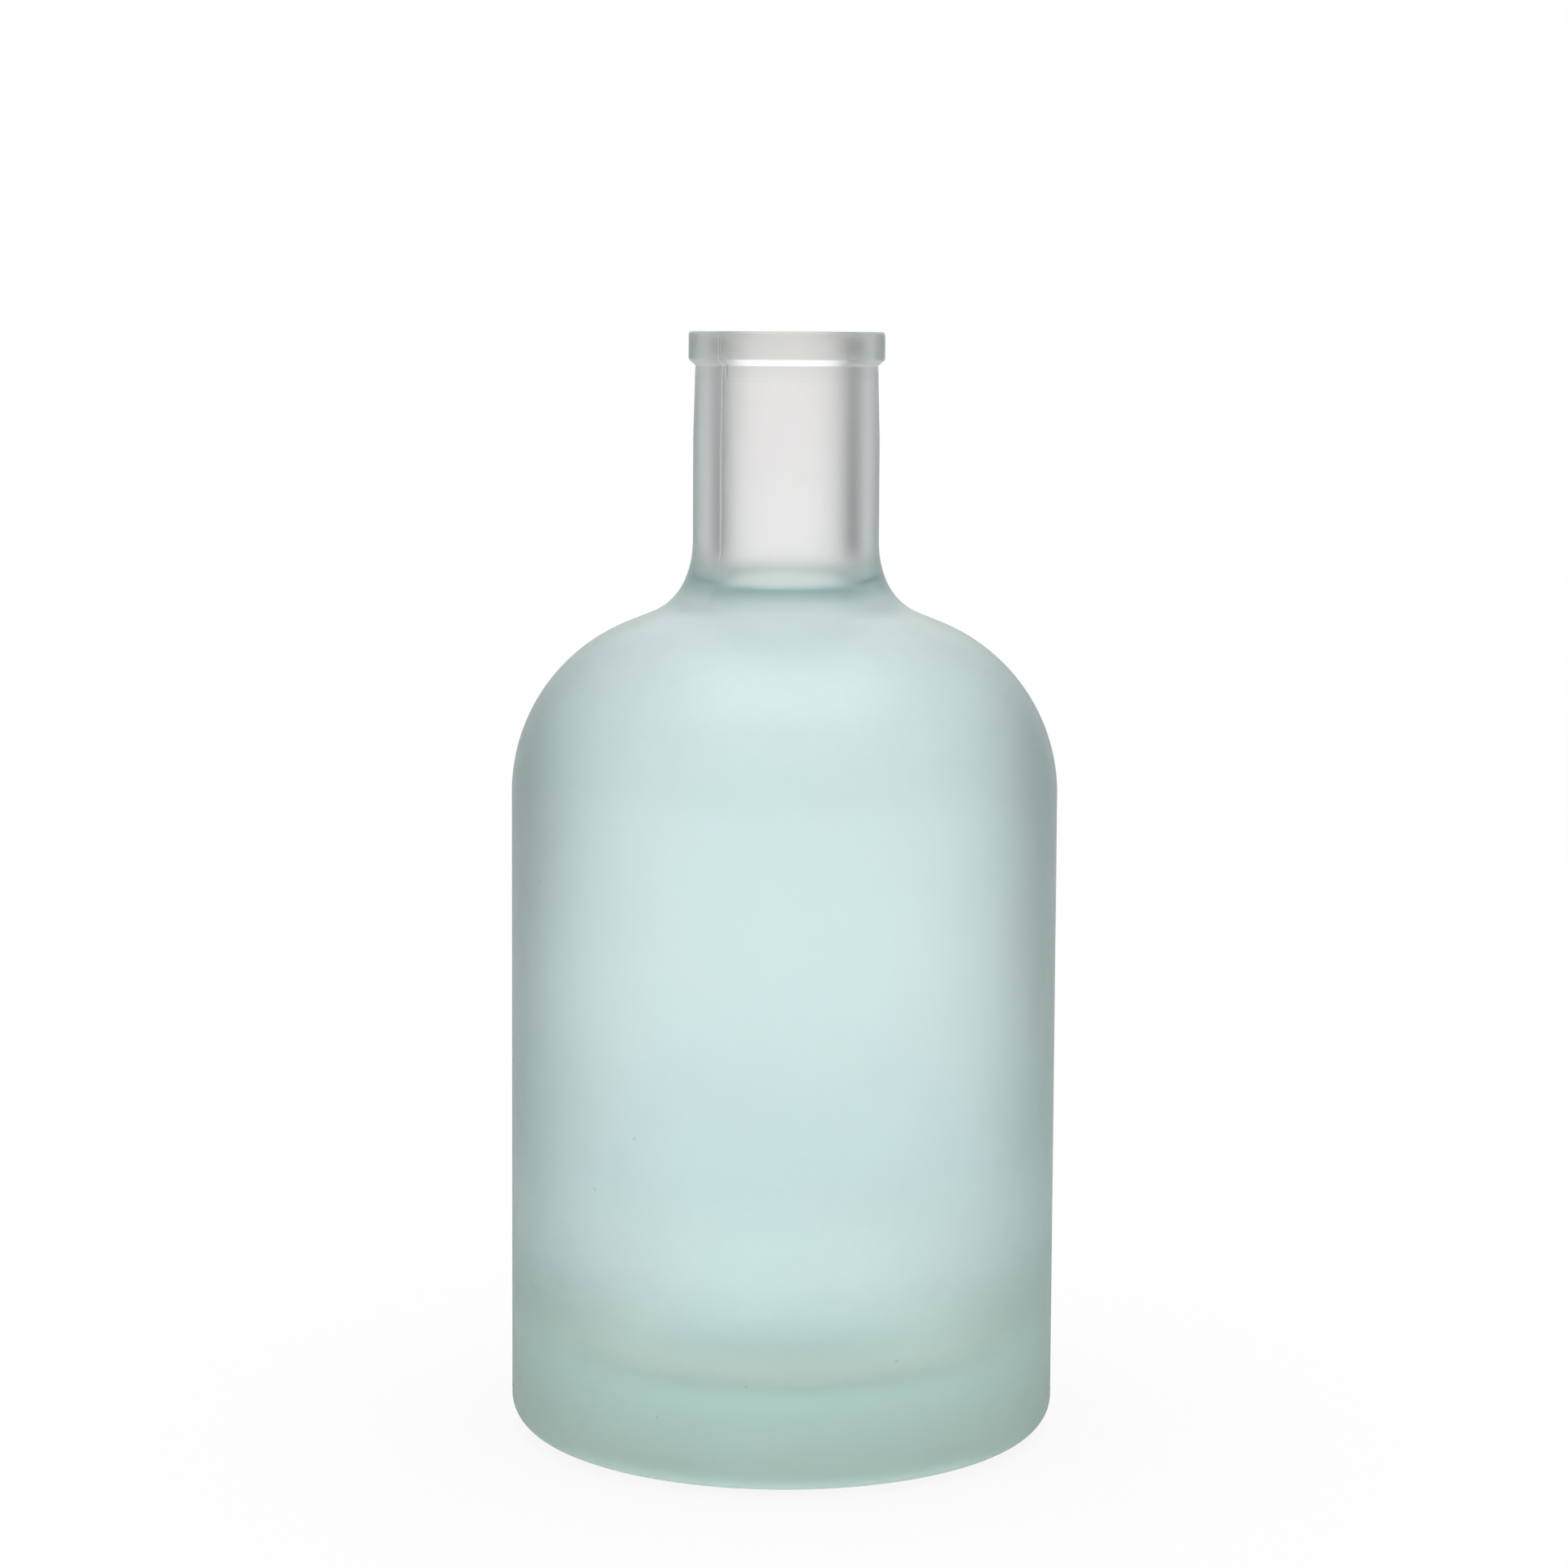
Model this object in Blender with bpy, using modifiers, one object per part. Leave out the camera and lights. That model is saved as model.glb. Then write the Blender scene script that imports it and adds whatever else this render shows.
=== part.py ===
"""Frosted glass bottle with a stopper-finish mouth, holding a pale liquid up to the foot of its neck.

Units are metres and +Z is up. The origin is the centre of the base, on the surface that the bottle
stands on. Both pieces are turned: a section is drawn in the XZ plane at +X and swept round Z.
"""
import math

import bmesh
import bpy

MODEL_NAME = "frosted_glass_bottle"

# Body of the glass, outside
BODY_DIAMETER = 0.0850
OVERALL_HEIGHT = 0.1710
BODY_STRAIGHT_TOP = 0.0995      # height at which the straight wall turns into the shoulder
HEEL_RADIUS = 0.0045            # round edge between the wall and the underside
SHOULDER_RADIUS = 0.0284
SHOULDER_SLOPE_DEG = 22.0       # fall of the shoulder's flat cone below the horizontal

# Neck, outside
NECK_DIAMETER = 0.0289
NECK_TOP_DIAMETER = 0.0283      # the neck draws in a little under the ring
NECK_DRAW_LENGTH = 0.0114       # how far below the ring the drawing in starts
THROAT_RADIUS = 0.0097          # hollow curve between the shoulder's cone and the neck
FLARE_RADIUS = 0.0155           # longer hollow curve above it, which runs out into the neck
FLARE_TURN_DEG = 22.0           # how much of the bend the flare takes

# Finish: the ring round the mouth that a stopper's cap sits on
RING_DIAMETER = 0.0304
RING_HEIGHT = 0.0051
RING_CHAMFER_HEIGHT = 0.0009    # sloped underside of the ring
RIM_OUTER_EDGE_RADIUS = 0.0005
RIM_INNER_EDGE_RADIUS = 0.0011  # fire-polished lip of the bore

# Inside
BORE_DIAMETER = 0.0198          # takes the pressed cork shank of a stopper
INNER_THROAT_RADIUS = 0.0120
BODY_WALL = 0.0042
INNER_HEEL_RADIUS = 0.0160      # the wall thickens gradually towards the base
BASE_THICKNESS = 0.0130         # glass above the bearing ring
FLOOR_RISE = 0.0040             # how far the inside floor domes up

# Underside
BEARING_RING_WIDTH = 0.0026     # flat ring that the bottle stands on
BEARING_INNER_EDGE_RADIUS = 0.0020
PUSH_UP = 0.0040                # how far the underside domes up

# Liquid
LIQUID_LEVEL = 0.1311
MENISCUS_RADIUS = 0.0005
CONTACT_ANGLE_DEG = 20.0
LIQUID_CLEARANCE = 0.0003       # gap that separate meshes keep

# Fineness of the sweep and of the drawn arcs
GLASS_STEPS = 64
LIQUID_STEPS = 48
ARC_SAG = 0.00006               # how far a drawn arc may lie from the true one
FEWEST_ARC_STEPS = 3
DOME_RINGS = 4                  # straight pieces from the axis to the edge of a domed floor
MERGE_DISTANCE = 0.00001        # joins the section's ends on the axis

BODY_RADIUS = BODY_DIAMETER / 2
NECK_RADIUS = NECK_DIAMETER / 2
NECK_TOP_RADIUS = NECK_TOP_DIAMETER / 2
RING_RADIUS = RING_DIAMETER / 2
BORE_RADIUS = BORE_DIAMETER / 2
SLOPE = math.radians(SHOULDER_SLOPE_DEG)
FLARE_TURN = math.radians(FLARE_TURN_DEG)
CONE_NORMAL = math.pi / 2 - SLOPE   # angle of the cone's outward normal above the horizontal


def arc(centre, radius, start, end):
    """Points of an arc in the section, with angles in radians from +X towards +Z."""
    longest_step = 2 * math.acos(max(0, 1 - ARC_SAG / radius))
    steps = max(FEWEST_ARC_STEPS, math.ceil(abs(end - start) / longest_step))
    points = []
    for step in range(steps + 1):
        angle = start + (end - start) * step / steps
        points.append((centre[0] + radius * math.cos(angle), centre[1] + radius * math.sin(angle)))
    return points


def domed_floor(edge_radius, low_height, rise, fillet_radius):
    """A dome round the axis that runs out into a fillet, whose lowest point is at edge_radius.

    Returns the dome's points from the axis outwards, and the fillet's start angle.
    """
    dome_radius = (edge_radius ** 2 + rise ** 2 - 2 * fillet_radius * rise) / (2 * rise)
    lean = math.asin(edge_radius / (dome_radius + fillet_radius))
    centre_height = low_height + rise - dome_radius
    points = []
    for ring in range(DOME_RINGS):
        angle = lean * ring / DOME_RINGS
        points.append((dome_radius * math.sin(angle), centre_height + dome_radius * math.cos(angle)))
    return points, -math.pi / 2 - lean


def cone_foot(inset):
    """Where the shoulder's arc runs into its cone, on a surface set in from the outside by inset."""
    radius = shoulder_radius() - inset
    return (
        BODY_RADIUS - shoulder_radius() + radius * math.cos(CONE_NORMAL),
        BODY_STRAIGHT_TOP + radius * math.sin(CONE_NORMAL),
    )


def shoulder_radius():
    """The shoulder's radius, limited by the width that the throat leaves it."""
    room = BODY_RADIUS - outer_throat_width() - NECK_RADIUS
    return min(SHOULDER_RADIUS, room / (1 - math.cos(CONE_NORMAL)))


def outer_throat_width():
    """How far the two hollow curves reach out from the neck."""
    flare = FLARE_RADIUS * (1 - math.cos(FLARE_TURN))
    throat = THROAT_RADIUS * (math.cos(FLARE_TURN) - math.cos(CONE_NORMAL))
    return flare + throat


def outside_section():
    """The outer side of the glass, from the rim's land down to the axis under the base."""
    ring_foot = OVERALL_HEIGHT - RING_HEIGHT
    rim_edge = (RING_RADIUS - RIM_OUTER_EDGE_RADIUS, OVERALL_HEIGHT - RIM_OUTER_EDGE_RADIUS)
    points = arc(rim_edge, RIM_OUTER_EDGE_RADIUS, math.pi / 2, 0)
    points.append((RING_RADIUS, ring_foot + RING_CHAMFER_HEIGHT))
    points.append((NECK_TOP_RADIUS, ring_foot))
    points.append((NECK_RADIUS, ring_foot - NECK_DRAW_LENGTH))

    foot_radius, foot_height = cone_foot(0)
    throat_radius = NECK_RADIUS + outer_throat_width()
    throat_height = foot_height + (foot_radius - throat_radius) * math.tan(SLOPE)
    throat_centre = (
        throat_radius + THROAT_RADIUS * math.cos(CONE_NORMAL),
        throat_height + THROAT_RADIUS * math.sin(CONE_NORMAL),
    )
    flare_centre = (
        throat_centre[0] + (FLARE_RADIUS - THROAT_RADIUS) * math.cos(FLARE_TURN),
        throat_centre[1] + (FLARE_RADIUS - THROAT_RADIUS) * math.sin(FLARE_TURN),
    )
    points += arc(flare_centre, FLARE_RADIUS, math.pi, math.pi + FLARE_TURN)
    points += arc(throat_centre, THROAT_RADIUS, math.pi + FLARE_TURN, math.pi + CONE_NORMAL)

    shoulder_centre = (BODY_RADIUS - shoulder_radius(), BODY_STRAIGHT_TOP)
    points += arc(shoulder_centre, shoulder_radius(), CONE_NORMAL, 0)

    heel_centre = (BODY_RADIUS - HEEL_RADIUS, HEEL_RADIUS)
    points += arc(heel_centre, HEEL_RADIUS, 0, -math.pi / 2)

    bearing_inner = BODY_RADIUS - HEEL_RADIUS - BEARING_RING_WIDTH
    dome, dome_edge = domed_floor(bearing_inner, 0, PUSH_UP, BEARING_INNER_EDGE_RADIUS)
    edge_centre = (bearing_inner, BEARING_INNER_EDGE_RADIUS)
    points += arc(edge_centre, BEARING_INNER_EDGE_RADIUS, -math.pi / 2, dome_edge)
    points += reversed(dome)
    return points


def inside_section(clearance):
    """The cavity's side from the middle of its floor up into the bore, set in by a clearance."""
    wall = BODY_WALL + clearance
    heel_radius = max(INNER_HEEL_RADIUS - clearance, clearance)
    heel_centre = (BODY_RADIUS - wall - heel_radius, BASE_THICKNESS + clearance + heel_radius)
    points, start = domed_floor(heel_centre[0], BASE_THICKNESS + clearance, FLOOR_RISE, heel_radius)
    points += arc(heel_centre, heel_radius, start, 0)

    shoulder_centre = (BODY_RADIUS - shoulder_radius(), BODY_STRAIGHT_TOP)
    points += arc(shoulder_centre, shoulder_radius() - wall, 0, CONE_NORMAL)

    foot_radius, foot_height = cone_foot(wall)
    throat_radius = INNER_THROAT_RADIUS + clearance
    throat_start = BORE_RADIUS - clearance + throat_radius * (1 - math.cos(CONE_NORMAL))
    throat_height = foot_height + (foot_radius - throat_start) * math.tan(SLOPE)
    throat_centre = (
        BORE_RADIUS - clearance + throat_radius,
        throat_height + throat_radius * math.sin(CONE_NORMAL),
    )
    points += arc(throat_centre, throat_radius, math.pi + CONE_NORMAL, math.pi)
    return points


def radius_at(points, height):
    """The section's radius where it rises through a height."""
    for (low_radius, low), (high_radius, high) in zip(points, points[1:]):
        if low <= height < high:
            return low_radius + (high_radius - low_radius) * (height - low) / (high - low)
    return points[-1][0]


def glass_section():
    """Floor, inner wall, bore, lip and land, then the whole outside, as one line from axis to axis."""
    lip_centre = (BORE_RADIUS + RIM_INNER_EDGE_RADIUS, OVERALL_HEIGHT - RIM_INNER_EDGE_RADIUS)
    lip = arc(lip_centre, RIM_INNER_EDGE_RADIUS, math.pi, math.pi / 2)
    return inside_section(0) + lip + outside_section()


def liquid_section():
    """The liquid's surface with its meniscus, then down the cavity's side to the axis."""
    contact = math.radians(CONTACT_ANGLE_DEG)
    contact_height = LIQUID_LEVEL + MENISCUS_RADIUS * (1 - math.sin(contact))
    side = inside_section(LIQUID_CLEARANCE)
    contact_radius = radius_at(side, contact_height)
    meniscus_centre = (
        contact_radius - MENISCUS_RADIUS * math.cos(contact),
        LIQUID_LEVEL + MENISCUS_RADIUS,
    )
    surface = [(0, LIQUID_LEVEL)]
    surface += arc(meniscus_centre, MENISCUS_RADIUS, -math.pi / 2, -contact)
    wetted = [point for point in side if point[1] < contact_height - MERGE_DISTANCE]
    return surface + wetted[::-1]


def turned(name, section, steps, material, collection):
    """A closed body turned from a section that starts and ends on the axis."""
    mesh = bpy.data.meshes.new(name)
    drawing = bmesh.new()
    previous = None
    for radius, height in section:
        if previous and math.dist(previous.co.xz, (radius, height)) < MERGE_DISTANCE:
            continue
        vertex = drawing.verts.new((radius, 0, height))
        if previous:
            drawing.edges.new((previous, vertex))
        previous = vertex
    drawing.to_mesh(mesh)
    drawing.free()
    mesh.materials.append(material)

    piece = bpy.data.objects.new(name, mesh)
    collection.objects.link(piece)
    screw = piece.modifiers.new("turn", "SCREW")
    screw.axis = "Z"
    screw.angle = math.tau
    screw.steps = steps
    screw.render_steps = steps
    screw.use_merge_vertices = True
    screw.merge_threshold = MERGE_DISTANCE
    screw.use_smooth_shade = True
    return piece


def see_through_material(name, colour, roughness, refraction):
    """A Principled material that light passes through."""
    material = bpy.data.materials.new(name)
    material.use_nodes = True
    shader = material.node_tree.nodes["Principled BSDF"]
    shader.inputs["Base Color"].default_value = (*colour, 1)
    shader.inputs["Roughness"].default_value = roughness
    shader.inputs["Metallic"].default_value = 0
    shader.inputs["IOR"].default_value = refraction
    shader.inputs["Transmission Weight"].default_value = 1
    material.diffuse_color = (*colour, 1)
    return material


def clear_scene():
    for item in list(bpy.data.objects):
        bpy.data.objects.remove(item, do_unlink=True)


def main():
    clear_scene()
    collection = bpy.data.collections.new(MODEL_NAME)
    bpy.context.scene.collection.children.link(collection)
    frosted = see_through_material("frosted_glass", (0.84, 0.89, 0.88), 0.55, 1.5)
    pale_aqua = see_through_material("pale_aqua_liquid", (0.62, 0.83, 0.83), 0.05, 1.33)
    turned("glass_bottle", glass_section(), GLASS_STEPS, frosted, collection)
    turned("liquid", liquid_section(), LIQUID_STEPS, pale_aqua, collection)


main()
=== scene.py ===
"""Looks of the frosted glass bottle and the pale liquid in it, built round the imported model.

Units are metres and +Z is up. The glass and the liquid are turned by one Geometry Nodes tree from
sections that are drawn here at their real sizes. The camera looks along +Y.
"""
import math

import bpy
from mathutils import Euler, Matrix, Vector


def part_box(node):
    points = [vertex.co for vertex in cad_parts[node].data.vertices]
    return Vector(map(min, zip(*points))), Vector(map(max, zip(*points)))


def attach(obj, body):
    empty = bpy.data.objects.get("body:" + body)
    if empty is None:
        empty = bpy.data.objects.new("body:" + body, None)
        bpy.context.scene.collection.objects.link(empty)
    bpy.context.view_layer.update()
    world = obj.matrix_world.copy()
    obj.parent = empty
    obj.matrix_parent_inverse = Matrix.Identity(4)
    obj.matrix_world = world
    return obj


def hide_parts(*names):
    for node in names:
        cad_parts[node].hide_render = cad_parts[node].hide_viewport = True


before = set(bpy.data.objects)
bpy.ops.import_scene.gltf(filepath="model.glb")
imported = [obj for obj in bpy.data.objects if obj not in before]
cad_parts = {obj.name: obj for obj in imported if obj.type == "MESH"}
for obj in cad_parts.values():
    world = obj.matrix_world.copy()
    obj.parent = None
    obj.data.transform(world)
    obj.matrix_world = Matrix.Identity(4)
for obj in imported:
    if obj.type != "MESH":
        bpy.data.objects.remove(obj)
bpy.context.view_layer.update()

MM = 0.001

# Glass outside: the body and the height come from the frame
GLASS_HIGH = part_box("glass_bottle")[1]
OVERALL_HEIGHT = GLASS_HIGH[2]
BODY_RADIUS = GLASS_HIGH[0]
BODY_STRAIGHT_TOP = 99.5 * MM
HEEL_RADIUS = 4.5 * MM
SHOULDER_RADIUS = 28.4 * MM
SLOPE = math.radians(22)
NECK_RADIUS = 14.45 * MM
NECK_TOP_RADIUS = 14.15 * MM
NECK_DRAW_LENGTH = 11.4 * MM
THROAT_RADIUS = 9.7 * MM
FLARE_RADIUS = 15.5 * MM
FLARE_TURN = math.radians(22)
CONE_NORMAL = math.pi / 2 - SLOPE

# Finish
RING_RADIUS = 15.2 * MM
RING_HEIGHT = 5.1 * MM
RING_CHAMFER_HEIGHT = 0.9 * MM
RING_CHAMFER_EDGE = 0.25 * MM
RIM_OUTER_EDGE_RADIUS = 0.5 * MM
RIM_INNER_EDGE_RADIUS = 1.1 * MM

# Inside and underside
BORE_RADIUS = 9.9 * MM
BORE_FOOT_ABOVE_LIQUID = 5 * MM     # the straight bore is drawn from here up
INNER_THROAT_RADIUS = 7 * MM
BODY_WALL = 4.2 * MM
INNER_HEEL_RADIUS = 16 * MM
BASE_THICKNESS = 13 * MM
FLOOR_RISE = 4 * MM
BEARING_RING_WIDTH = 2.6 * MM
BEARING_INNER_EDGE_RADIUS = 2 * MM
PUSH_UP = 4 * MM

# Liquid: it wets the glass, so its skin lies a little inside the wall
LIQUID_LEVEL = 131.1 * MM
MENISCUS_RADIUS = 0.5 * MM
CONTACT_ANGLE = math.radians(20)
WETTING_OVERLAP = 0.08 * MM

# Marks of the mould: its parting line turns a little where the ring's own mould meets the neck's
SEAM_ANGLE = math.radians(-132.8)
SEAM_RISE = 0.1 * MM
SEAM_WIDTH = 0.16 * MM
RING_SEAM_TURN = math.radians(0.7)
RING_FOOT_SEAM_TURN = math.radians(2.5)
BODY_SEAM_SHARE = 0.1           # the seam is polished down on the body
SEAM_FADE_WIDTH = 1 * MM        # and is down to that where the throat is this much wider than the neck
PARTING_RISE = 0.025 * MM
PARTING_WIDTH = 0.16 * MM
NECK_PARTING_HEIGHT = 163.6 * MM
HEEL_PARTING_HEIGHT = 5.4 * MM
WALL_UNEVENNESS = 0.22 * MM     # how far the blown inside strays from round
UNEVENNESS_SCALE = 26.0
UNEVENNESS_GAP = 1 * MM         # it starts this far outside the bore
UNEVENNESS_GROWTH = 20 * MM     # and is full after this much more
FROST_LIFT = 4                  # a quarter of the full frosting already counts as outside

# Fineness
ARC_SAG = 0.006 * MM
FEWEST_ARC_STEPS = 4
DOME_RINGS = 24
GLASS_STEPS = 288
LIQUID_STEPS = 192
MERGE_DISTANCE = 0.001 * MM
STEP_CROWDING = 0.9             # draws the steps together at the seams, where the relief is fine

# Frosting: 1 is fully etched, and edges that the etching spares are lower
RIM_EDGE_FROST = 0.8
RING_CHAMFER_FROST = 0.8
NECK_ROUGHNESS = 0.39
BODY_ROUGHNESS = 0.4
BASE_ROUGHNESS = 0.56           # the thick base shows least of what is behind it
NECK_HAZE_FOOT = 118 * MM
NECK_HAZE_FULL = 132 * MM
BASE_HAZE_TOP = 40 * MM
BASE_HAZE_FULL = 18 * MM
INSIDE_ROUGHNESS = 0.02
RIPPLE_ROUGHNESS = 0.05         # the blown wall is finely rippled where it turns outwards
RIPPLE_TOP = 139 * MM
RIPPLE_FOOT = 124 * MM
RIPPLE_FADE = 5 * MM
CLOUD_SCALE = 60.0              # the etching's clouds, fine mottling, grain and specks
FINE_SCALE = 420.0
GRAIN_SCALE = 2200.0
SPECK_SCALE = 110.0
CLOUD_ROUGHNESS = 0.08          # how far the clouds move the roughness
FINE_ROUGHNESS = 0.06           # and the fine mottling
GRAIN_STRENGTH = 0.15
GRAIN_DEPTH = 0.03 * MM

# Tints of the skin, which change with the height: partly the aqua of glass and liquid, partly painted
# shade
# the painted shade darkens the ring, the shoulder and the low part of the body; the neck, base and heel
# stay lightest
RING_TINT_AND_SHADE = (0.885, 0.86, 0.84, 1)
NECK_COLOUR = (1.0, 0.97, 0.965, 1)
SHOULDER_TINT_AND_SHADE = (0.825, 0.88, 0.86, 1)
BODY_COLOUR = (0.93, 0.985, 0.975, 1)
LOW_BODY_TINT_AND_SHADE = (0.80, 0.885, 0.88, 1)
BASE_COLOUR = (0.96, 1.0, 0.945, 1)
HEEL_COLOUR = (1.0, 1.0, 0.92, 1)
SKIN_TINT_AND_SHADE_BY_HEIGHT = (
    (5, HEEL_COLOUR), (20, BASE_COLOUR), (29, LOW_BODY_TINT_AND_SHADE), (46, LOW_BODY_TINT_AND_SHADE), (68, BODY_COLOUR),
    (100, BODY_COLOUR), (112, SHOULDER_TINT_AND_SHADE), (122, SHOULDER_TINT_AND_SHADE), (134, NECK_COLOUR),
    (163, NECK_COLOUR), (166, RING_TINT_AND_SHADE),
)                               # in millimetres above the ground
CLOUD_TINT = (1.0, 0.98, 0.985, 1)   # what the clouds do to the colour
FINE_TINT = (0.98, 0.983, 0.98, 1)
SPECK_TINT = (0.72, 0.74, 0.72, 1)
SEAM_CREST_PAINTED_SHADE = (0.6, 0.62, 0.62, 1)     # painted shade on the seam's crest
LIQUID_LINE_PAINTED_SHADE = (0.79, 1.0, 1.0, 1)       # painted shade in the liquid's aqua hue, a darker band on the inside of the glass just under the liquid line
LIQUID_LINE_SHADE_BAND = 2.6 * MM
LIQUID_LINE_SHADE_EDGE = 0.2 * MM

# Light lost in each metre, for red, green and blue
GLASS_ABSORPTION = (4.7, 0.7, 0.7)
LIQUID_ABSORPTION = (2.0, 0.2, 0.2)
GLASS_IOR = 1.5
LIQUID_IOR = 1.33

# Studio
PATH_BOUNCES = 32               # light wanders long in the thick base before it leaves it
SURROUND = 0.85                 # the white round the object, as a light on the floor
LEFT_SHADE = 0.14               # what the glass shows of the left side
RIGHT_SHADE = 0.09              # and of the right
SIDE_SPREAD = 0.6               # how far round the one gives way to the other
SIDE_TINT = (0.87, 1.0, 1.0, 1)
SHADE_FROM = 0.65               # where the sides give way to the white, by how far a ray goes back
SHADE_TO = 1.0
OVERHEAD_FROM = 0.2             # and by how far it goes up
OVERHEAD_TO = 0.9
STRIP_GLOW = 0.6                # how much brighter than the white a strip of light behind is
STRIP_LOW = 0.3                 # between these heights, as sines of the angle above the floor
STRIP_HIGH = 0.65
STRIP_EDGE = 0.12
STRIP_BACK_FROM = 0.2           # and where it starts, by how far a ray goes back
STRIP_BACK_TO = 0.6
FLOOR_CORNERS = 96
FLOOR_RADIUS = 1.4
FLOOR_DROP = 0.2 * MM
FLOOR_FADE_FROM = 0.35          # the floor runs out into the white between these distances
FLOOR_FADE_TO = 1.2
FLOOR_SHADE = 0.93
FLOOR_ROUGHNESS = 0.9
FLOOR_GLOW = 0.88               # the floor's own white, as the camera meets it
FLOOR_GLOW_BEHIND = 1.0         # and as it shows in the glass, straight behind the bottle
FLOOR_GLOW_BESIDE = 0.68        # and as it shows there in the other directions
FLOOR_SHADE_FROM = 0.75         # where the one gives way to the other, by how far back a place is
UNDER_GLOW = 0.72               # and as it shows there from under the bottle
UNDER_EDGE_INSIDE = 5 * MM      # which ends between these distances from the body's edge
UNDER_EDGE_OUTSIDE = 15 * MM
TOP_LIGHT = 4.0
TOP_LIGHT_HEIGHT = 1.3
TOP_LIGHT_SIZE = 1.2

# Camera, from the outline in the photograph, 1932 pixels square
PHOTO_PIXELS = 1932
SENSOR_WIDTH = 36 * MM
FOCAL_PIXELS = 4551
CAMERA_DISTANCE = 573.2 * MM
CAMERA_HEIGHT = 170.1 * MM
CAMERA_PITCH = math.radians(5)
CAMERA_ROLL = math.radians(0.31)
AXIS_PIXEL_X = 967.5            # where the camera's own axis meets the photograph
AXIS_PIXEL_Y = 813.9

ROW_LABELS = ("frost", "seam", "seam_turn")


class Value:
    """A node's output that takes part in sums: each operation adds a Math node."""

    def __init__(self, graph, socket):
        self.graph = graph
        self.socket = socket

    def worked(self, operation, first, second=None):
        inputs = {0: first} if second is None else {0: first, 1: second}
        return self.graph.node("ShaderNodeMath", {"operation": operation}, inputs)

    def __add__(self, other):
        return self.worked("ADD", self, other)

    def __radd__(self, other):
        return self.worked("ADD", other, self)

    def __sub__(self, other):
        return self.worked("SUBTRACT", self, other)

    def __rsub__(self, other):
        return self.worked("SUBTRACT", other, self)

    def __mul__(self, other):
        return self.worked("MULTIPLY", self, other)

    def __truediv__(self, other):
        return self.worked("DIVIDE", self, other)

    def __neg__(self):
        return self.worked("MULTIPLY", self, -1)

    def sine(self):
        return self.worked("SINE", self)

    def cosine(self):
        return self.worked("COSINE", self)

    def exponential(self):
        return self.worked("EXPONENT", self)

    def at_most(self, other):
        return self.worked("MINIMUM", self, other)

    def at_least(self, other):
        return self.worked("MAXIMUM", self, other)

    def beside(self, name):
        """Another output of the same node."""
        return Value(self.graph, self.socket.node.outputs[name])


class Graph:
    """A node tree of either kind, written as calls."""

    def __init__(self, tree):
        self.tree = tree

    def node(self, kind, settings=None, inputs=None, output=0):
        """Adds a node: its settings first, then its sockets' values or links."""
        node = self.tree.nodes.new(kind)
        for name, setting in (settings or {}).items():
            if name == "stops":
                self.set_stops(node.color_ramp.elements, setting)
            else:
                setattr(node, name, setting)
        for key, value in (inputs or {}).items():
            if isinstance(value, Value):
                self.tree.links.new(value.socket, node.inputs[key])
            else:
                node.inputs[key].default_value = value
        return Value(self, node.outputs[output]) if node.outputs else node

    @staticmethod
    def set_stops(elements, stops):
        while len(elements) < len(stops):
            elements.new(1)
        for element, (place, colour) in zip(elements, stops):
            element.position = place
            element.color = colour

    def mixed(self, share, first, second):
        """A colour between two, and the share may vary over the surface."""
        return self.node("ShaderNodeMix", {"data_type": "RGBA"}, {0: share, 6: first, 7: second}, 2)

    def tinted(self, share, colour, tint):
        """A colour multiplied by a tint, by a share that may vary over the surface."""
        return self.node("ShaderNodeMix", {"data_type": "RGBA", "blend_type": "MULTIPLY"},
                         {0: share, 6: colour, 7: tint}, 2)

    def noise(self, place, scale, detail):
        return self.node("ShaderNodeTexNoise", None,
                         {"Vector": place, "Scale": scale, "Detail": detail, "Roughness": 0.6})

    def ramp(self, value, start, end):
        """From 0 at start to 1 at end, eased at both."""
        return self.node("ShaderNodeMapRange", {"interpolation_type": "SMOOTHSTEP"},
                         {"Value": value, "From Min": start, "From Max": end})

    def to_output(self, value, name):
        self.tree.links.new(value.socket, self.tree.nodes["Material Output"].inputs[name])


def arc(centre, radius, start, end):
    """Points of an arc in the section, with angles from +X towards +Z."""
    longest_step = 2 * math.acos(1 - ARC_SAG / radius)
    steps = max(FEWEST_ARC_STEPS, math.ceil(abs(end - start) / longest_step))
    angles = [start + (end - start) * step / steps for step in range(steps + 1)]
    return [(centre[0] + radius * math.cos(a), centre[1] + radius * math.sin(a)) for a in angles]


def domed_floor(edge_radius, low_height, rise, fillet_radius):
    """A dome round the axis, and the start angle of the fillet that it runs out into."""
    dome_radius = (edge_radius ** 2 + rise ** 2 - 2 * fillet_radius * rise) / (2 * rise)
    lean = math.asin(edge_radius / (dome_radius + fillet_radius))
    centre = low_height + rise - dome_radius
    angles = [lean * ring / DOME_RINGS for ring in range(DOME_RINGS)]
    points = [(dome_radius * math.sin(a), centre + dome_radius * math.cos(a)) for a in angles]
    return points, -math.pi / 2 - lean


def parting_line(radius, height):
    """A low rounded ridge across a nearly upright wall, from above it to below it."""
    points = []
    for step in (2, 1.3, 0.7, 0.3, 0, -0.3, -0.7, -1.3, -2):
        rise = PARTING_RISE * math.exp(-step * step)
        points.append((radius + rise, height + step * PARTING_WIDTH))
    return points


def outer_throat_width():
    flare = FLARE_RADIUS * (1 - math.cos(FLARE_TURN))
    return flare + THROAT_RADIUS * (math.cos(FLARE_TURN) - math.cos(CONE_NORMAL))


def cone_foot(inset):
    """Where the shoulder's arc runs into its cone, on a surface set in by inset."""
    radius = SHOULDER_RADIUS - inset
    across = BODY_RADIUS - SHOULDER_RADIUS + radius * math.cos(CONE_NORMAL)
    return across, BODY_STRAIGHT_TOP + radius * math.sin(CONE_NORMAL)


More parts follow.
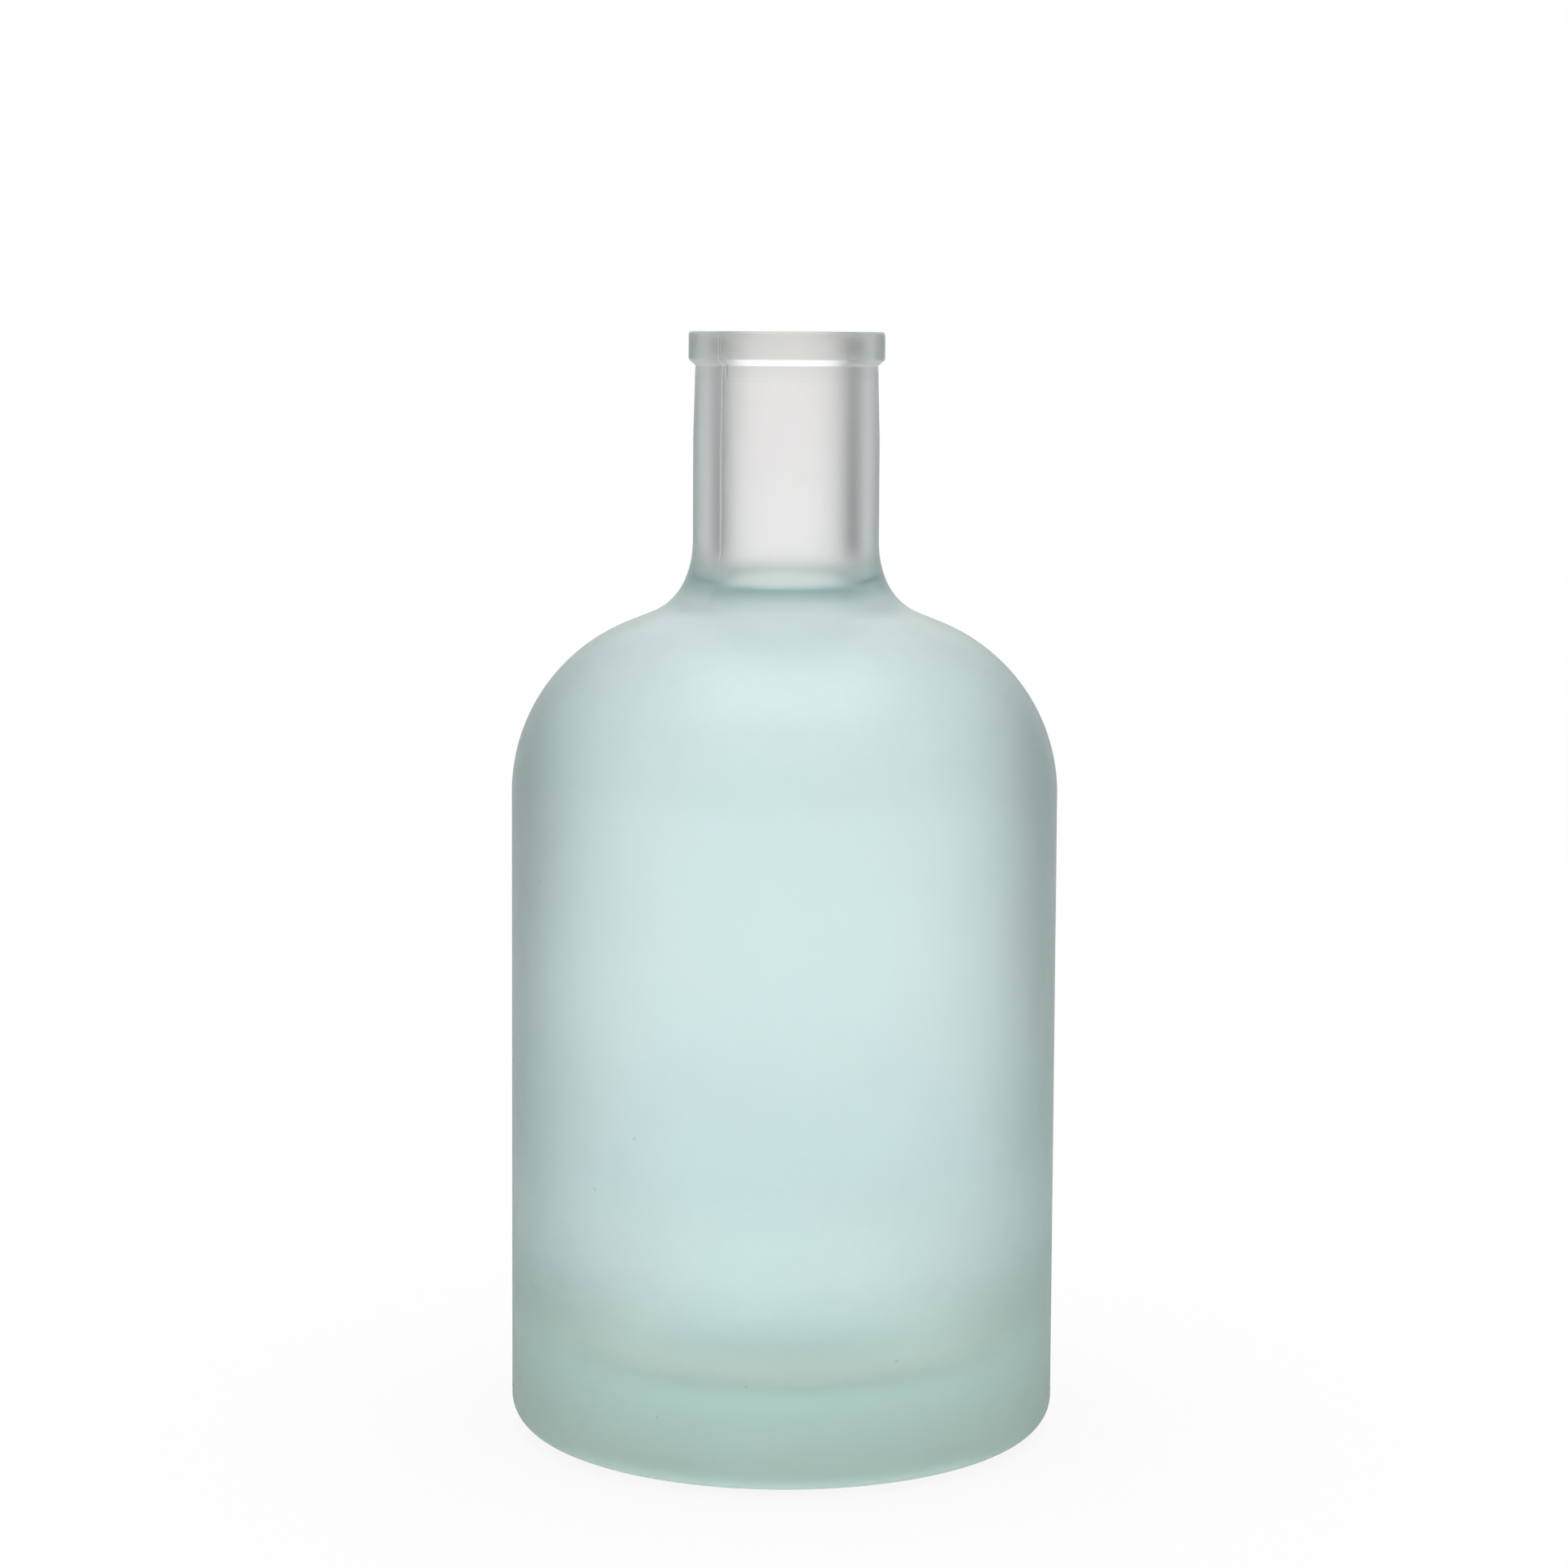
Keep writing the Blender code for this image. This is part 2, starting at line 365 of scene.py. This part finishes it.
def rows(points, frost=1.0, seam=0.0, seam_turn=0.0):
    """Points of the section with the surface's values there, in the order of ROW_LABELS."""
    return [(point, frost, seam, seam_turn) for point in points]


def inside_section(overlap):
    """The cavity's side from the middle of its floor up into the bore, let into the wall by overlap."""
    wall = BODY_WALL - overlap
    heel_radius = INNER_HEEL_RADIUS + overlap
    low = BASE_THICKNESS - overlap
    heel = (BODY_RADIUS - wall - heel_radius, low + heel_radius)
    points, start = domed_floor(heel[0], low, FLOOR_RISE, heel_radius)
    points += arc(heel, heel_radius, start, 0)
    shoulder = (BODY_RADIUS - SHOULDER_RADIUS, BODY_STRAIGHT_TOP)
    points += arc(shoulder, SHOULDER_RADIUS - wall, 0, CONE_NORMAL)
    foot_radius, foot_height = cone_foot(wall)
    throat_radius = INNER_THROAT_RADIUS - overlap
    bore = BORE_RADIUS + overlap
    start_radius = bore + throat_radius * (1 - math.cos(CONE_NORMAL))
    start_height = foot_height + (foot_radius - start_radius) * math.tan(SLOPE)
    throat = (bore + throat_radius, start_height + throat_radius * math.sin(CONE_NORMAL))
    points += arc(throat, throat_radius, math.pi + CONE_NORMAL, math.pi)
    return points + [(bore, LIQUID_LEVEL + BORE_FOOT_ABOVE_LIQUID)]


def finish_rows():
    """The lip, the ring round the mouth and the neck under it, from the bore outwards and down."""
    ring_foot = OVERALL_HEIGHT - RING_HEIGHT
    lip = (BORE_RADIUS + RIM_INNER_EDGE_RADIUS, OVERALL_HEIGHT - RIM_INNER_EDGE_RADIUS)
    side = rows(arc(lip, RIM_INNER_EDGE_RADIUS, math.pi, math.pi / 2), RIM_EDGE_FROST)
    edge = (RING_RADIUS - RIM_OUTER_EDGE_RADIUS, OVERALL_HEIGHT - RIM_OUTER_EDGE_RADIUS)
    side += rows(arc(edge, RIM_OUTER_EDGE_RADIUS, math.pi / 2, 0), RIM_EDGE_FROST, 0, RING_SEAM_TURN)
    face = [(RING_RADIUS, OVERALL_HEIGHT - RIM_OUTER_EDGE_RADIUS * 2),
            (RING_RADIUS, ring_foot + RING_CHAMFER_HEIGHT + RING_CHAMFER_EDGE * 2)]
    side += rows(face, 1, 1, RING_SEAM_TURN)
    chamfer = math.atan2(RING_RADIUS - NECK_TOP_RADIUS, RING_CHAMFER_HEIGHT)
    soft_edge = (RING_RADIUS - RING_CHAMFER_EDGE, ring_foot + RING_CHAMFER_HEIGHT)
    side += rows(arc(soft_edge, RING_CHAMFER_EDGE, 0, -chamfer), RING_CHAMFER_FROST, 1,
                 RING_SEAM_TURN)
    groove = (NECK_TOP_RADIUS + RING_CHAMFER_EDGE, ring_foot - RING_CHAMFER_EDGE)
    side += rows(arc(groove, RING_CHAMFER_EDGE, math.pi - chamfer, math.pi), RING_CHAMFER_FROST, 1,
                 RING_FOOT_SEAM_TURN)
    share = (ring_foot - NECK_PARTING_HEIGHT) / NECK_DRAW_LENGTH
    neck_here = NECK_TOP_RADIUS + (NECK_RADIUS - NECK_TOP_RADIUS) * share
    side += rows(parting_line(neck_here, NECK_PARTING_HEIGHT), 1, 1)
    return side + rows([(NECK_RADIUS, ring_foot - NECK_DRAW_LENGTH)], 1, 1)


def shoulder_section():
    """The neck's foot, the throat, the shoulder and the top of the body's side."""
    foot_radius, foot_height = cone_foot(0)
    throat_foot = NECK_RADIUS + outer_throat_width()
    throat_height = foot_height + (foot_radius - throat_foot) * math.tan(SLOPE)
    throat = (
        throat_foot + THROAT_RADIUS * math.cos(CONE_NORMAL),
        throat_height + THROAT_RADIUS * math.sin(CONE_NORMAL),
    )
    further = FLARE_RADIUS - THROAT_RADIUS
    flare = (
        throat[0] + further * math.cos(FLARE_TURN),
        throat[1] + further * math.sin(FLARE_TURN),
    )
    points = arc(flare, FLARE_RADIUS, math.pi, math.pi + FLARE_TURN)
    points += arc(throat, THROAT_RADIUS, math.pi + FLARE_TURN, math.pi + CONE_NORMAL)
    shoulder = (BODY_RADIUS - SHOULDER_RADIUS, BODY_STRAIGHT_TOP)
    return points + arc(shoulder, SHOULDER_RADIUS, CONE_NORMAL, 0)


def shoulder_rows():
    """The shoulder's rows, on which the seam fades out under the neck."""
    side = []
    for point in shoulder_section():
        faded = min(1, (point[0] - NECK_RADIUS) / SEAM_FADE_WIDTH)
        side += rows([point], 1, 1 + (BODY_SEAM_SHARE - 1) * faded)
    return side


def foot_rows():
    """The heel with its parting line, the bearing ring and the push-up, to the axis."""
    side = rows(parting_line(BODY_RADIUS, HEEL_PARTING_HEIGHT), 1, BODY_SEAM_SHARE)
    side += rows(arc((BODY_RADIUS - HEEL_RADIUS, HEEL_RADIUS), HEEL_RADIUS, 0, -math.pi / 2))
    bearing = BODY_RADIUS - HEEL_RADIUS - BEARING_RING_WIDTH
    dome, dome_edge = domed_floor(bearing, 0, PUSH_UP, BEARING_INNER_EDGE_RADIUS)
    edge = (bearing, BEARING_INNER_EDGE_RADIUS)
    side += rows(arc(edge, BEARING_INNER_EDGE_RADIUS, -math.pi / 2, dome_edge))
    return side + rows(dome[::-1])


def liquid_rows():
    """The liquid's surface with its meniscus, then down the cavity's side to the axis."""
    contact_height = LIQUID_LEVEL + MENISCUS_RADIUS * (1 - math.sin(CONTACT_ANGLE))
    side = inside_section(WETTING_OVERLAP)
    above = next(place for place, point in enumerate(side) if point[1] > contact_height)
    (low_radius, low), (high_radius, high) = side[above - 1], side[above]
    share = (contact_height - low) / (high - low)
    contact_radius = low_radius + (high_radius - low_radius) * share
    centre = (
        contact_radius - MENISCUS_RADIUS * math.cos(CONTACT_ANGLE),
        LIQUID_LEVEL + MENISCUS_RADIUS,
    )
    surface = [(0, LIQUID_LEVEL), (centre[0] / 2, LIQUID_LEVEL)]
    surface += arc(centre, MENISCUS_RADIUS, -math.pi / 2, -CONTACT_ANGLE)
    return rows(surface + side[:above][::-1], frost=0.0)


def section_object(name, side):
    """A line of edges in the XZ plane, with the rows' values as point attributes."""
    mesh = bpy.data.meshes.new(name)
    kept = [side[0]]
    for row in side[1:]:
        if math.dist(row[0], kept[-1][0]) > MERGE_DISTANCE:
            kept.append(row)
    points = [(row[0][0], 0, row[0][1]) for row in kept]
    mesh.from_pydata(points, [(n, n + 1) for n in range(len(points) - 1)], [])
    for place, label in enumerate(ROW_LABELS, start=1):
        attribute = mesh.attributes.new(label, "FLOAT", "POINT")
        attribute.data.foreach_set("value", [row[place] for row in kept])
    piece = bpy.data.objects.new(name, mesh)
    bpy.context.scene.collection.objects.link(piece)
    return piece


def turning_tree():
    """Sweeps a section round Z, raises the mould seams and makes the blown inside uneven."""
    tree = bpy.data.node_groups.new("turned_glass", "GeometryNodeTree")
    face = tree.interface
    face.new_socket("Geometry", in_out="INPUT", socket_type="NodeSocketGeometry")
    face.new_socket("Steps", in_out="INPUT", socket_type="NodeSocketInt")
    for label in ("Crowding", "Seam Angle", "Seam Rise", "Seam Width", "Unevenness"):
        face.new_socket(label, in_out="INPUT", socket_type="NodeSocketFloat")
    face.new_socket("Material", in_out="INPUT", socket_type="NodeSocketMaterial")
    face.new_socket("Geometry", in_out="OUTPUT", socket_type="NodeSocketGeometry")

    graph = Graph(tree)
    given = graph.node("NodeGroupInput")
    seam_angle = given.beside("Seam Angle")

    circle = graph.node("GeometryNodeCurvePrimitiveCircle", {"mode": "RADIUS"},
                        {"Resolution": given.beside("Steps")})
    turn = graph.node("GeometryNodeInputIndex") / given.beside("Steps") * math.tau
    angle = turn - ((turn - seam_angle) * 2).sine() * given.beside("Crowding") / 2
    spine = captured(graph, circle, angle, "FLOAT")

    section = graph.node("GeometryNodeMeshToCurve", None, {"Mesh": given})
    place = graph.node("GeometryNodeInputPosition")
    profile = captured(graph, section, place, "VECTOR")
    swept = graph.node("GeometryNodeCurveToMesh", None,
                       {"Curve": spine, "Profile Curve": profile})

    angle = spine.beside("Value")
    drawn = graph.node("ShaderNodeSeparateXYZ", None, {0: profile.beside("Value")})
    height = drawn.beside("Z")
    off_seam = (angle - seam_angle - named(graph, "seam_turn")).sine()
    seam_gap = drawn * off_seam / given.beside("Seam Width")
    seam = (-(seam_gap * seam_gap)).exponential() * named(graph, "seam")
    round_place = graph.node("ShaderNodeCombineXYZ", None,
                             {0: drawn * angle.cosine(), 1: drawn * angle.sine(), 2: height})
    noise = graph.node("ShaderNodeTexNoise", None,
                       {"Vector": round_place, "Scale": UNEVENNESS_SCALE, "Detail": 1.0})
    blown = ((drawn - BORE_RADIUS - UNEVENNESS_GAP) / UNEVENNESS_GROWTH).at_least(0).at_most(1)
    inside = 1 - (named(graph, "frost") * FROST_LIFT).at_most(1)
    strays = (noise - 0.5) * 2 * given.beside("Unevenness") * inside * blown
    radius = drawn + seam * given.beside("Seam Rise") + strays
    moved = graph.node("ShaderNodeCombineXYZ", None,
                       {0: radius * angle.cosine(), 1: radius * angle.sine(), 2: height})
    marked = graph.node("GeometryNodeStoreNamedAttribute", {"data_type": "FLOAT", "domain": "POINT"},
                        {"Geometry": swept, "Name": "ridge", "Value": seam})
    shaped = graph.node("GeometryNodeSetPosition", None, {"Geometry": marked, "Position": moved})
    closed = graph.node("GeometryNodeMergeByDistance", None,
                        {"Geometry": shaped, "Distance": MERGE_DISTANCE})
    smooth = graph.node("GeometryNodeSetShadeSmooth", None, {"Geometry": closed})
    real = graph.node("GeometryNodeRealizeInstances", None, {"Geometry": smooth})
    painted = graph.node("GeometryNodeSetMaterial", None,
                         {"Geometry": real, "Material": given.beside("Material")})
    graph.node("NodeGroupOutput", None, {"Geometry": painted})
    return tree


def captured(graph, geometry, value, kind):
    """The geometry with a value kept on its points; the value is its output Value."""
    node = graph.tree.nodes.new("GeometryNodeCaptureAttribute")
    node.capture_items.new(kind, "Value")
    graph.tree.links.new(geometry.socket, node.inputs["Geometry"])
    graph.tree.links.new(value.socket, node.inputs["Value"])
    return Value(graph, node.outputs["Geometry"])


def named(graph, label):
    return graph.node("GeometryNodeInputNamedAttribute", {"data_type": "FLOAT"}, {"Name": label})


def make_plain(piece, tree, settings):
    """Works the tree out on the piece, and leaves it with a plain mesh and no modifier."""
    modifier = piece.modifiers.new("turning", "NODES")
    modifier.node_group = tree
    for item in tree.interface.items_tree:
        if item.item_type == "SOCKET" and item.in_out == "INPUT" and item.name in settings:
            modifier[item.identifier] = settings[item.name]
    graph = bpy.context.evaluated_depsgraph_get()
    mesh = bpy.data.meshes.new_from_object(piece.evaluated_get(graph))
    piece.modifiers.remove(modifier)
    piece.data = mesh


def material_graph(name):
    """A new material, its graph, and its Principled shader's node."""
    material = bpy.data.materials.new(name)
    material.use_nodes = True
    graph = Graph(material.node_tree)
    return material, graph, material.node_tree.nodes["Principled BSDF"]


def absorbing(graph, per_metre):
    """Joins an even absorption, in shares lost per metre for red, green and blue, to the output."""
    most = max(per_metre)
    colour = tuple(1 - share / most for share in per_metre) + (1,)
    volume = graph.node("ShaderNodeVolumeAbsorption", None, {"Color": colour, "Density": most})
    graph.to_output(volume, "Volume")


def attribute(graph, label):
    return graph.node("ShaderNodeAttribute", {"attribute_name": label}, output="Fac")


def frosted_glass():
    """Glass etched outside and smooth inside."""
    material, graph, shader = material_graph("frosted_glass")
    place = graph.node("ShaderNodeTexCoord", output="Object")
    height = graph.node("ShaderNodeSeparateXYZ", None, {0: place}, "Z")
    frost = attribute(graph, "frost")
    cloud = graph.noise(place, CLOUD_SCALE, 4.0)
    mottling = graph.noise(place, FINE_SCALE, 3.0)
    grain = graph.noise(place, GRAIN_SCALE, 2.0)
    specks = graph.node("ShaderNodeTexVoronoi", None, {"Vector": place, "Scale": SPECK_SCALE})

    neck = graph.ramp(height, NECK_HAZE_FOOT, NECK_HAZE_FULL)
    base = graph.ramp(height, BASE_HAZE_TOP, BASE_HAZE_FULL)
    etched = BODY_ROUGHNESS + neck * (NECK_ROUGHNESS - BODY_ROUGHNESS)
    etched = etched + base * (BASE_ROUGHNESS - BODY_ROUGHNESS)
    etched = etched + (cloud - 0.5) * CLOUD_ROUGHNESS + (mottling - 0.5) * FINE_ROUGHNESS
    rippled = graph.ramp(height, RIPPLE_TOP, RIPPLE_TOP - RIPPLE_FADE)
    rippled = rippled * graph.ramp(height, RIPPLE_FOOT, RIPPLE_FOOT + RIPPLE_FADE)
    inner = INSIDE_ROUGHNESS + rippled * (RIPPLE_ROUGHNESS - INSIDE_ROUGHNESS)
    roughness = inner + frost * (etched - inner)
    bump = graph.node("ShaderNodeBump", None, {"Strength": GRAIN_STRENGTH, "Distance": GRAIN_DEPTH,
                                               "Height": grain * frost})

    # the skin's colour by height: partly its own aqua, partly painted shade on the ring, shoulder and
    # low body
    stops = [(level * MM / OVERALL_HEIGHT, colour) for level, colour in SKIN_TINT_AND_SHADE_BY_HEIGHT]
    skin = graph.node("ShaderNodeValToRGB", {"stops": stops}, {"Fac": height / OVERALL_HEIGHT})
    for marks, start, end, tint in (
        (cloud, 0.4, 0.6, CLOUD_TINT),
        (mottling, 0.35, 0.65, FINE_TINT),
        (specks, 0.036, 0.022, SPECK_TINT),
        # painted shade along the seam's crest
        (attribute(graph, "ridge"), 0.45, 0.95, SEAM_CREST_PAINTED_SHADE),
    ):
        skin = graph.tinted(graph.ramp(marks, start, end), skin, tint)
    # painted shade: a darker aqua band on the inside of the glass just under where the liquid meets it
    contact = LIQUID_LEVEL + MENISCUS_RADIUS
    liquid_line_shade = graph.ramp(height, contact - LIQUID_LINE_SHADE_BAND, contact - LIQUID_LINE_SHADE_BAND / 2)
    liquid_line_shade = liquid_line_shade * graph.ramp(height, contact + LIQUID_LINE_SHADE_EDGE, contact - LIQUID_LINE_SHADE_EDGE)
    inside = graph.tinted(liquid_line_shade, (1, 1, 1, 1), LIQUID_LINE_PAINTED_SHADE)
    tint = graph.mixed(frost, inside, skin)
    graph.tree.links.new(tint.socket, shader.inputs["Base Color"])
    graph.tree.links.new(roughness.socket, shader.inputs["Roughness"])
    graph.tree.links.new(bump.socket, shader.inputs["Normal"])
    shader.inputs["IOR"].default_value = GLASS_IOR
    shader.inputs["Transmission Weight"].default_value = 1
    absorbing(graph, GLASS_ABSORPTION)
    return material


def pale_aqua_liquid():
    material, graph, shader = material_graph("pale_aqua_liquid")
    shader.inputs["Base Color"].default_value = (1, 1, 1, 1)
    shader.inputs["Roughness"].default_value = 0
    shader.inputs["IOR"].default_value = LIQUID_IOR
    shader.inputs["Transmission Weight"].default_value = 1
    absorbing(graph, LIQUID_ABSORPTION)
    return material


def glass_and_liquid():
    tree = turning_tree()
    shared = {"Crowding": STEP_CROWDING, "Seam Angle": SEAM_ANGLE, "Seam Rise": SEAM_RISE,
              "Seam Width": SEAM_WIDTH, "Unevenness": WALL_UNEVENNESS}
    smooth_inside = rows(inside_section(0), frost=0.0)
    glass = section_object("glass_shell", smooth_inside + finish_rows() + shoulder_rows() + foot_rows())
    make_plain(glass, tree, shared | {"Steps": GLASS_STEPS, "Material": frosted_glass()})
    liquid = section_object("liquid_fill", liquid_rows())
    make_plain(liquid, tree, shared | {"Steps": LIQUID_STEPS, "Material": pale_aqua_liquid()})
    for piece, node, slot in ((glass, "glass_bottle", "frosted_glass"),
                              (liquid, "liquid", "pale_aqua_liquid")):
        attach(piece, "root")
        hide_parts(node)


def seen_directly(graph):
    """Two shares: 1 for the camera's own rays, and 1 for rays that glass mirrors or lets through."""
    path = graph.node("ShaderNodeLightPath", output="Is Glossy Ray")
    through = path.at_least(path.beside("Is Transmission Ray"))
    return path.beside("Is Camera Ray"), through


def surroundings():
    """White behind and above the object, and dimmer at its sides and in front, as in a studio."""
    scene = bpy.context.scene
    scene.world = bpy.data.worlds.new("studio")
    scene.world.use_nodes = True
    graph = Graph(scene.world.node_tree)
    camera_ray, through = seen_directly(graph)
    towards = graph.node("ShaderNodeTexCoord", output="Generated")
    back = graph.node("ShaderNodeSeparateXYZ", None, {0: towards}, "Y")
    rise = back.beside("Z")
    behind = graph.ramp(back, SHADE_FROM, SHADE_TO)
    above = graph.ramp(rise, OVERHEAD_FROM, OVERHEAD_TO)
    strip = graph.ramp(rise, STRIP_LOW - STRIP_EDGE, STRIP_LOW)
    strip = strip * graph.ramp(rise, STRIP_HIGH + STRIP_EDGE, STRIP_HIGH)
    strip = strip * graph.ramp(back, STRIP_BACK_FROM, STRIP_BACK_TO)
    bright = behind.at_least(above)
    rightwards = graph.ramp(back.beside("X"), -SIDE_SPREAD, SIDE_SPREAD)
    sides = LEFT_SHADE + rightwards * (RIGHT_SHADE - LEFT_SHADE)
    shown = sides + bright * (1 - sides) + strip * STRIP_GLOW
    strength = SURROUND + camera_ray * (1 - SURROUND) + through * (shown - SURROUND)
    colour = graph.mixed(through * (1 - bright), (1, 1, 1, 1), SIDE_TINT)
    background = graph.tree.nodes["Background"]
    graph.tree.links.new(colour.socket, background.inputs["Color"])
    graph.tree.links.new(strength.socket, background.inputs["Strength"])


def pale_floor():
    """A matt floor that runs out into the white, and glows as a light table does."""
    bpy.ops.mesh.primitive_circle_add(vertices=FLOOR_CORNERS, radius=FLOOR_RADIUS, fill_type="NGON",
                                      location=(0, 0, -FLOOR_DROP))
    floor = bpy.context.object
    floor.name = "floor"
    material, graph, shader = material_graph("pale_floor")
    place = graph.node("ShaderNodeTexCoord", output="Object")
    distance = graph.node("ShaderNodeVectorMath", {"operation": "LENGTH"}, {0: place}, "Value")
    shader.inputs["Base Color"].default_value = (FLOOR_SHADE, FLOOR_SHADE, FLOOR_SHADE, 1)
    shader.inputs["Roughness"].default_value = FLOOR_ROUGHNESS
    camera_ray, through = seen_directly(graph)
    back = graph.node("ShaderNodeSeparateXYZ", None, {0: place}, "Y") / distance
    behind = graph.ramp(back, FLOOR_SHADE_FROM, SHADE_TO)
    open_floor = graph.ramp(distance, BODY_RADIUS - UNDER_EDGE_INSIDE,
                            BODY_RADIUS + UNDER_EDGE_OUTSIDE)
    around = FLOOR_GLOW_BESIDE + behind * (FLOOR_GLOW_BEHIND - FLOOR_GLOW_BESIDE)
    in_glass = UNDER_GLOW + open_floor * (around - UNDER_GLOW)
    strength = 1 + through * (in_glass - 1)
    glow = graph.node("ShaderNodeEmission", None, {"Color": (1, 1, 1, 1), "Strength": strength})
    lit = graph.node("ShaderNodeMixShader", None, {0: through + camera_ray * FLOOR_GLOW,
                                                   1: Value(graph, shader.outputs[0]), 2: glow})
    clear = graph.node("ShaderNodeBsdfTransparent")
    fade = graph.ramp(distance, FLOOR_FADE_FROM, FLOOR_FADE_TO)
    faded = graph.node("ShaderNodeMixShader", None, {0: fade, 1: lit, 2: clear})
    graph.to_output(faded, "Surface")
    floor.data.materials.append(material)


def top_box():
    """A wide soft light above the bottle, which points down without being turned."""
    light = bpy.data.lights.new("top_box", "AREA")
    light.size = TOP_LIGHT_SIZE
    light.energy = TOP_LIGHT
    stand = bpy.data.objects.new("top_box", light)
    stand.location = (0, 0, TOP_LIGHT_HEIGHT)
    bpy.context.scene.collection.objects.link(stand)


def studio():
    scene = bpy.context.scene
    scene.view_settings.view_transform = "Standard"
    scene.cycles.max_bounces = PATH_BOUNCES
    scene.cycles.glossy_bounces = PATH_BOUNCES
    scene.cycles.transmission_bounces = PATH_BOUNCES
    surroundings()
    pale_floor()
    top_box()


def camera():
    """The photograph's view: level with the mouth, a little down, framed by the lens's shift."""
    lens = bpy.data.cameras.new("camera")
    lens.sensor_width = SENSOR_WIDTH / MM
    lens.lens = SENSOR_WIDTH / MM * FOCAL_PIXELS / PHOTO_PIXELS
    lens.shift_x = (PHOTO_PIXELS / 2 - AXIS_PIXEL_X) / PHOTO_PIXELS
    lens.shift_y = (AXIS_PIXEL_Y - PHOTO_PIXELS / 2) / PHOTO_PIXELS
    stand = bpy.data.objects.new("camera", lens)
    turn = Euler((math.pi / 2 - CAMERA_PITCH, 0, 0)).to_matrix() @ Matrix.Rotation(CAMERA_ROLL, 3, "Z")
    stand.matrix_world = Matrix.Translation((0, -CAMERA_DISTANCE, CAMERA_HEIGHT)) @ turn.to_4x4()
    bpy.context.scene.collection.objects.link(stand)
    bpy.context.scene.camera = stand


camera()
studio()
glass_and_liquid()
